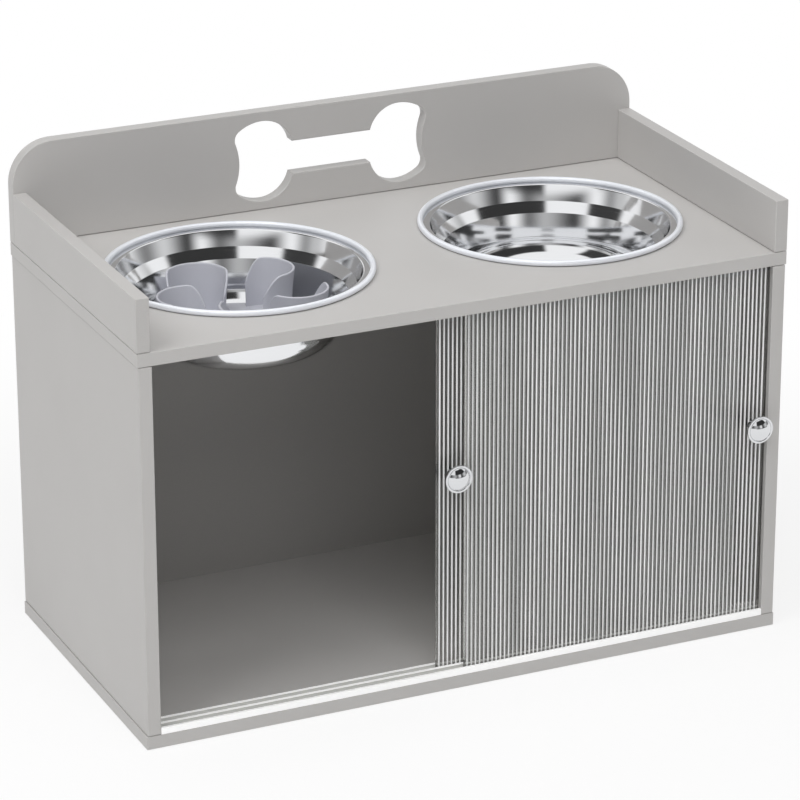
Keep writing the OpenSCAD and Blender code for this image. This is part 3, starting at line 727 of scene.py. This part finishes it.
plated_steel, place = new_material("zinc_plated_steel")
bloom_mm = 2.5
bloom = add(plated_steel, "ShaderNodeTexNoise", {
    "Vector": place, "Scale": 1000 / bloom_mm, "Detail": 4.0})
plated_tone = add(plated_steel, "ShaderNodeMix", {
    "Factor": bloom, "A": linear("#aeb0b3"), "B": linear("#bfc1c2")}, data_type="RGBA")
plated_gloss = add(plated_steel, "ShaderNodeMapRange", {"Value": bloom, "To Min": 0.22, "To Max": 0.36})
plated = add(plated_steel, "ShaderNodeBsdfPrincipled", {
    "Base Color": plated_tone, "Metallic": 1.0, "Roughness": plated_gloss})
add(plated_steel, "ShaderNodeOutputMaterial", {"Surface": plated})

beech, place = new_material("turned_beech")
fleck_mm, fleck_l_mm = 1.2, 17
upright = add(beech, "ShaderNodeMapping", {
    "Vector": place, "Scale": (1000 / fleck_mm, 1000 / fleck_mm, 1000 / fleck_l_mm)})
fleck = add(beech, "ShaderNodeTexNoise", {"Vector": upright, "Scale": 1.0, "Detail": 3.0})
beech_tone = add(beech, "ShaderNodeMix", {
    "Factor": fleck, "A": linear("#c9a876"), "B": linear("#e0c898")}, data_type="RGBA")
wood = add(beech, "ShaderNodeBsdfPrincipled", {"Base Color": beech_tone, "Roughness": 0.7})
add(beech, "ShaderNodeOutputMaterial", {"Surface": wood})

silicone, place = new_material("clear_silicone")
cloud_mm = 6
cloud = add(silicone, "ShaderNodeTexNoise", {"Vector": place, "Scale": 1000 / cloud_mm, "Detail": 2.0})
cup_gloss = add(silicone, "ShaderNodeMapRange", {"Value": cloud, "To Min": 0.2, "To Max": 0.35})
cup = add(silicone, "ShaderNodeBsdfPrincipled", {
    "Base Color": linear("#e2e6e7"), "Roughness": cup_gloss, "Transmission Weight": 0.8, "IOR": 1.41})
add(silicone, "ShaderNodeOutputMaterial", {"Surface": cup})

fittings = {
    "cam_locks": die_cast, "cam_bolts": plated_steel, "panel_dowels": beech,
    "base_screws": plated_steel, "guard_screws": plated_steel, "backsplash_screws": plated_steel,
    "rear_door_screw": plated_steel, "front_door_screw": plated_steel, "suction_cup": silicone,
}
for node, finish in fittings.items():
    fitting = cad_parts[node].data
    fitting.materials.clear()
    fitting.materials.append(finish)

# ------------------------------------------------------------------ floor, light and camera
# A white studio floor that keeps a soft shadow, and a white cove above it. Only shiny pieces mirror
# its softboxes and the dark gaps between them. Three lamps light the object, and a long lens looks
# at it from the front left, a little above.
floor_paint, place = new_material("white_floor_paint")
path = add(floor_paint, "ShaderNodeLightPath")
seen = add(floor_paint, "ShaderNodeMath", {
    0: path.outputs["Is Camera Ray"], 1: path.outputs["Is Glossy Ray"]}, operation="MAXIMUM")
seen = add(floor_paint, "ShaderNodeMath", {
    0: seen, 1: path.outputs["Is Transmission Ray"]}, operation="MAXIMUM")
away = add(floor_paint, "ShaderNodeVectorMath", {0: place}, operation="LENGTH").outputs["Value"]
clean = add(floor_paint, "ShaderNodeMapRange", {
    "Value": away, "From Min": 0.4, "From Max": 0.9, "To Min": 0.8, "To Max": 1.0},
    interpolation_type="SMOOTHSTEP")
share = add(floor_paint, "ShaderNodeMath", {0: seen, 1: clean}, operation="MULTIPLY")
paint = add(floor_paint, "ShaderNodeBsdfDiffuse", {"Color": linear("#f7f7f7")})
glow = add(floor_paint, "ShaderNodeEmission", {"Color": (1, 1, 1, 1), "Strength": 1.0})
mixed = add(floor_paint, "ShaderNodeMixShader", {"Fac": share, 1: paint, 2: glow})
add(floor_paint, "ShaderNodeOutputMaterial", {"Surface": mixed})
floor_reach, floor_depth, floor_gap = 6, 0.05, 0.5 * mm
floor = new_piece("studio_floor", block(
    (-floor_reach, -floor_reach, -floor_depth), (floor_reach, floor_reach, -floor_gap)), floor_paint)

world = bpy.data.worlds.new("studio")
bpy.context.scene.world = world
world.use_nodes = True
world.node_tree.nodes.clear()
facing = add(world, "ShaderNodeTexCoord").outputs["Generated"]
parts = add(world, "ShaderNodeSeparateXYZ", {"Vector": facing})
bearing = add(world, "ShaderNodeMath", {
    0: parts.outputs["Y"], 1: parts.outputs["X"]}, operation="ARCTAN2")
turn = add(world, "ShaderNodeMapRange", {"Value": bearing, "From Min": -pi, "From Max": pi})


def ring_of_lights(stops, fade):
    """A ring of softboxes and dark gaps round the studio, as stops of (part of the turn, brightness)."""
    ring = add(world, "ShaderNodeValToRGB", {"Fac": turn})
    ramp = ring.color_ramp
    ramp.interpolation = fade
    for i, (at, bright) in enumerate(stops):
        is_new = 0 < i < len(stops) - 1
        stop = ramp.elements.new(at) if is_new else ramp.elements[-1 if i else 0]
        stop.position, stop.color = at, (bright, bright, bright, 1)
    return ring


strip_lights = ring_of_lights((
    (0.0, 0.35), (0.04, 1.0), (0.1, 0.07), (0.19, 0.5), (0.24, 0.2), (0.29, 1.0), (0.33, 0.07),
    (0.4, 0.7), (0.46, 0.25), (0.54, 0.95), (0.61, 0.7), (0.69, 0.9), (0.76, 0.95), (0.8, 0.3),
    (0.83, 0.8), (0.87, 0.5), (0.92, 1.0), (0.97, 0.6), (1.0, 0.35)), "EASE")
panels = ring_of_lights((
    (0.0, 0.05), (0.03, 0.05), (0.045, 1.0), (0.185, 1.0), (0.2, 0.04), (0.42, 0.04), (0.435, 1.0),
    (0.64, 1.0), (0.66, 0.45), (0.72, 0.45), (0.74, 1.0), (0.92, 1.0), (0.935, 0.05), (1.0, 0.05)),
    "LINEAR")
# Heights are the sine of the angle above the horizon: a floor glow below, a ring of strip lights, a
# ring of large panels from there up, and a white ceiling.
glow_top, strip_middle, strip_inner, strip_outer, ceiling = 0.02, 0.27, 0.14, 0.2, 0.84
height, fade = parts.outputs["Z"], 0.04
above = add(world, "ShaderNodeMapRange", {
    "Value": height, "From Min": glow_top, "From Max": glow_top + fade}, interpolation_type="SMOOTHSTEP")
off_strip = add(world, "ShaderNodeMath", {0: height, 1: strip_middle}, operation="SUBTRACT")
off_strip = add(world, "ShaderNodeMath", {0: off_strip}, operation="ABSOLUTE")
strip = add(world, "ShaderNodeMapRange", {
    "Value": off_strip, "From Min": strip_inner, "From Max": strip_outer, "To Min": 1.0, "To Max": 0.0},
    interpolation_type="SMOOTHSTEP")
overhead = add(world, "ShaderNodeMapRange", {
    "Value": height, "From Min": ceiling, "From Max": ceiling + fade}, interpolation_type="SMOOTHSTEP")
white = (1, 1, 1, 1)
mirrored = add(world, "ShaderNodeMix", {"Factor": above, "A": white, "B": panels}, data_type="RGBA")
mirrored = add(world, "ShaderNodeMix", {
    "Factor": strip, "A": mirrored, "B": strip_lights}, data_type="RGBA")
mirrored = add(world, "ShaderNodeMix", {"Factor": overhead, "A": mirrored, "B": white}, data_type="RGBA")
sky_path = add(world, "ShaderNodeLightPath")
glossy, transmitted = sky_path.outputs["Is Glossy Ray"], sky_path.outputs["Is Transmission Ray"]
shiny = add(world, "ShaderNodeMath", {0: glossy, 1: transmitted}, operation="MAXIMUM")
soft_sky = (0.31, 0.31, 0.31, 1)
lit_sky = add(world, "ShaderNodeMix", {"Factor": shiny, "A": soft_sky, "B": mirrored}, data_type="RGBA")
shown = add(world, "ShaderNodeMix", {
    "Factor": sky_path.outputs["Is Camera Ray"], "A": lit_sky, "B": white}, data_type="RGBA")
backdrop = add(world, "ShaderNodeBackground", {"Color": shown, "Strength": 1.0})
add(world, "ShaderNodeOutputWorld", {"Surface": backdrop})

lamps = (
    ("left_lamp", (-2.0, -0.6, 2.8), 1.8, 41),
    ("front_lamp", (-0.4, -2.2, 2.8), 1.8, 34),
    ("top_lamp", (0.0, -0.2, 3.4), 1.8, 20),
)
for name, spot, size, watts in lamps:
    light = bpy.data.lights.new(name, "AREA")
    light.shape, light.size, light.energy = "SQUARE", size, watts
    lamp = bpy.data.objects.new(name, light)
    lamp.location = spot
    lamp.visible_glossy = False
    lamp.rotation_euler = (Vector((0, 0, 0.2)) - Vector(spot)).to_track_quat("-Z", "Y").to_euler()
    bpy.context.scene.collection.objects.link(lamp)

camera_place = (-1.3355, -2.9208, 1.4735)
azimuth, elevation, roll = radians(24.614), radians(21.458), radians(-0.07)
focal_pixels, photo_width = 3925.6, 800
lens = bpy.data.cameras.new("camera")
lens.sensor_width = 36
lens.lens = focal_pixels / photo_width * lens.sensor_width
lens.clip_end = 30
camera = bpy.data.objects.new("camera", lens)
forward = Vector((sin(azimuth) * cos(elevation), cos(azimuth) * cos(elevation), -sin(elevation)))
level = forward.cross(Vector((0, 0, 1))).normalized()
upward = level.cross(forward)
aim = Matrix((level * cos(roll) + upward * sin(roll), upward * cos(roll) - level * sin(roll), -forward))
camera.matrix_world = Matrix.Translation(camera_place) @ aim.transposed().to_4x4()
bpy.context.scene.collection.objects.link(camera)
bpy.context.scene.camera = camera
bpy.context.scene.view_settings.view_transform = "Standard"
